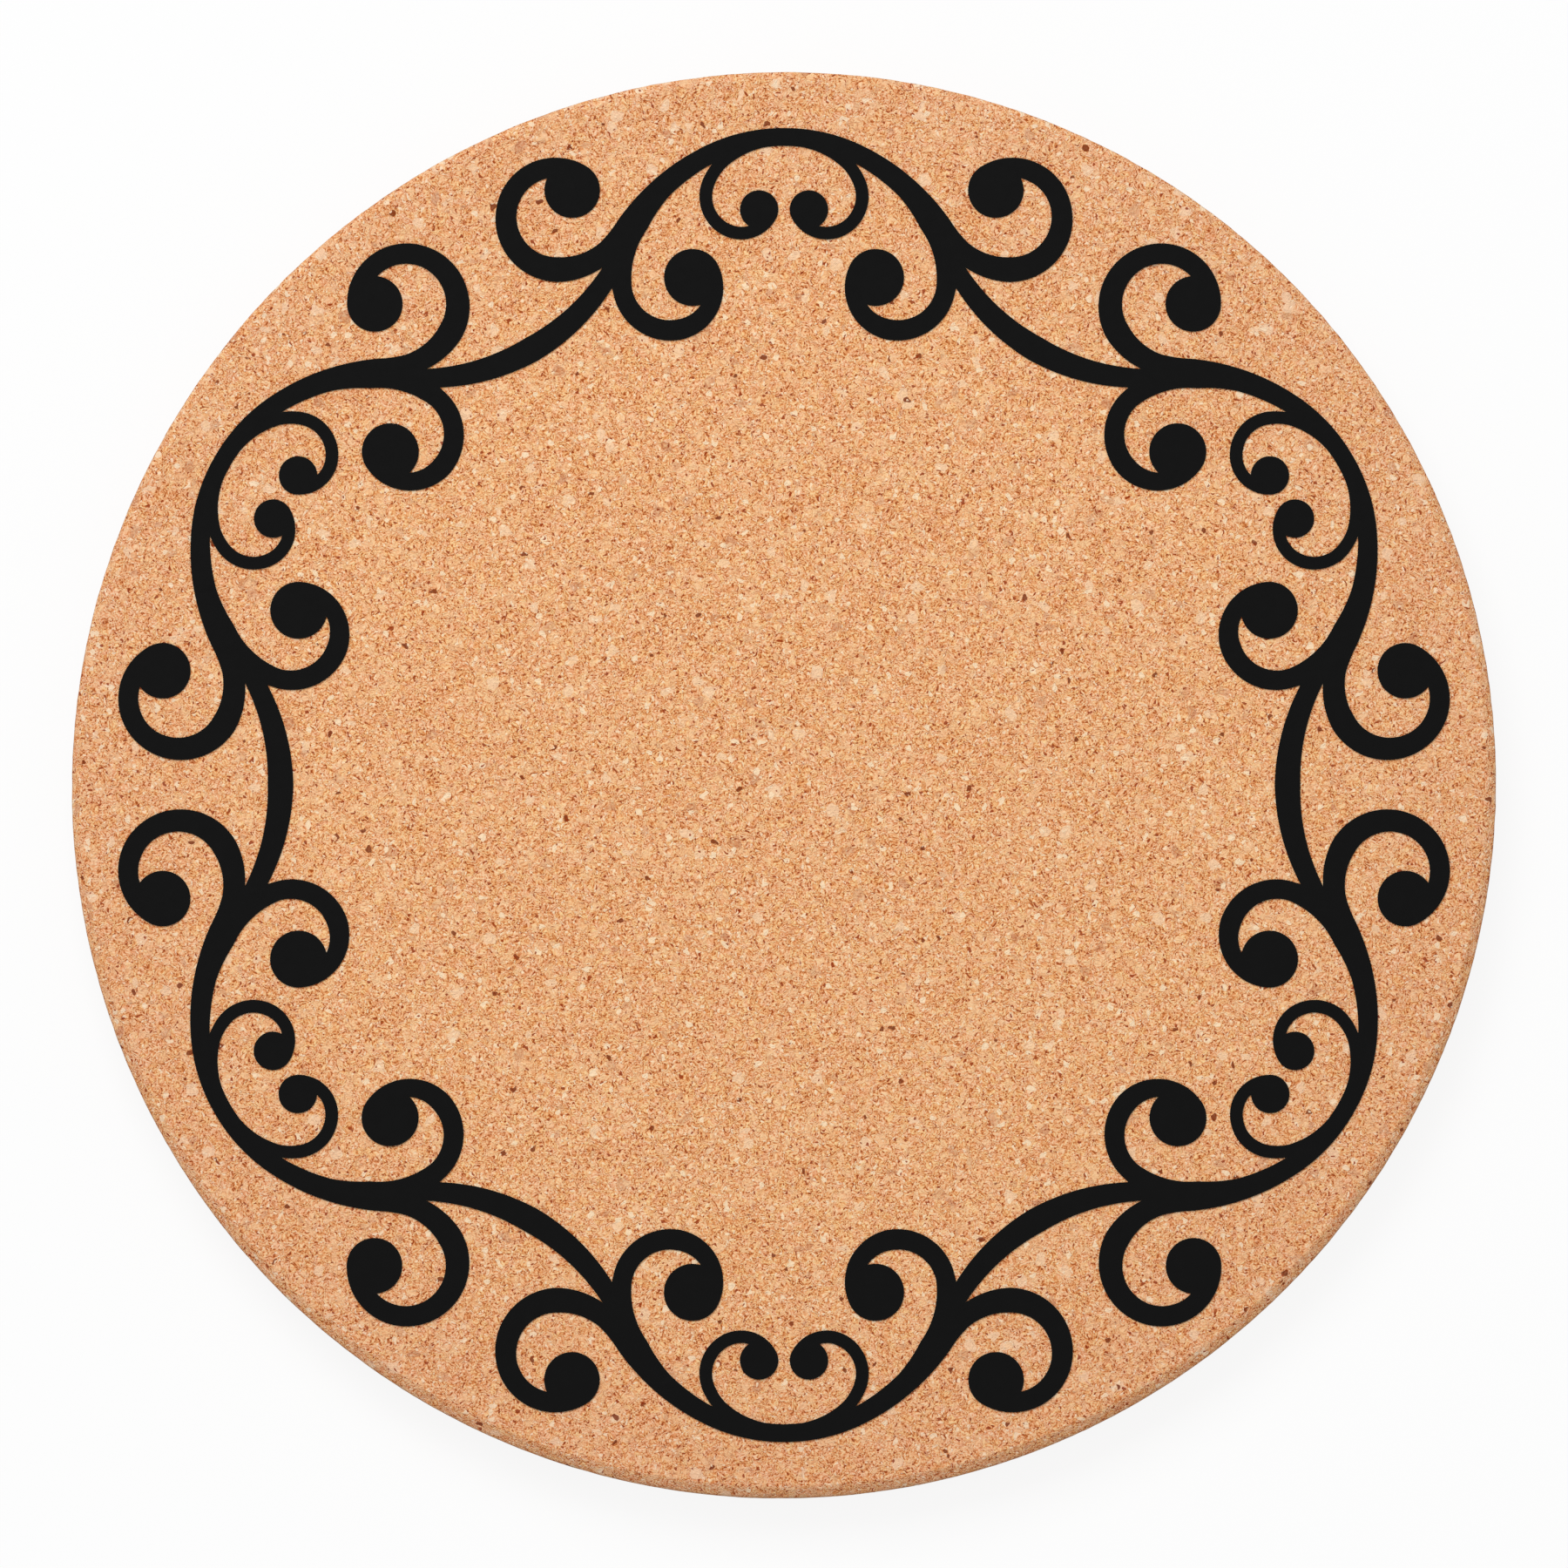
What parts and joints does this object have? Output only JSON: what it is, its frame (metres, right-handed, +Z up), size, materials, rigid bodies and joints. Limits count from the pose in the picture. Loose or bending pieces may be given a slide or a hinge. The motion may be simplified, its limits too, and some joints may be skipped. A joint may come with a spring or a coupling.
{
  "type": "cork coaster",
  "caption": "Round flat cork coaster with softly rounded edges and a wreath of black scrolls in thin film pressed onto its upper face, to stand a cup or glass on.",
  "frame": {"origin": "middle of the disc's underside, on the surface it lies on", "axes": "+Z up through the disc's axis, +Y from the middle to the top of one scroll motif, +X to the right seen from above"},
  "size_m": [0.1, 0.1, 0.0051],
  "materials": {
    "cork": "fine-grained agglomerated cork, pressed and sanded, matt",
    "film": "black heat-pressed film, matt to satin"
  },
  "bodies": {
    "root": {"cork_disc": "cork", "scroll_film": "film"}
  },
  "joints": []
}
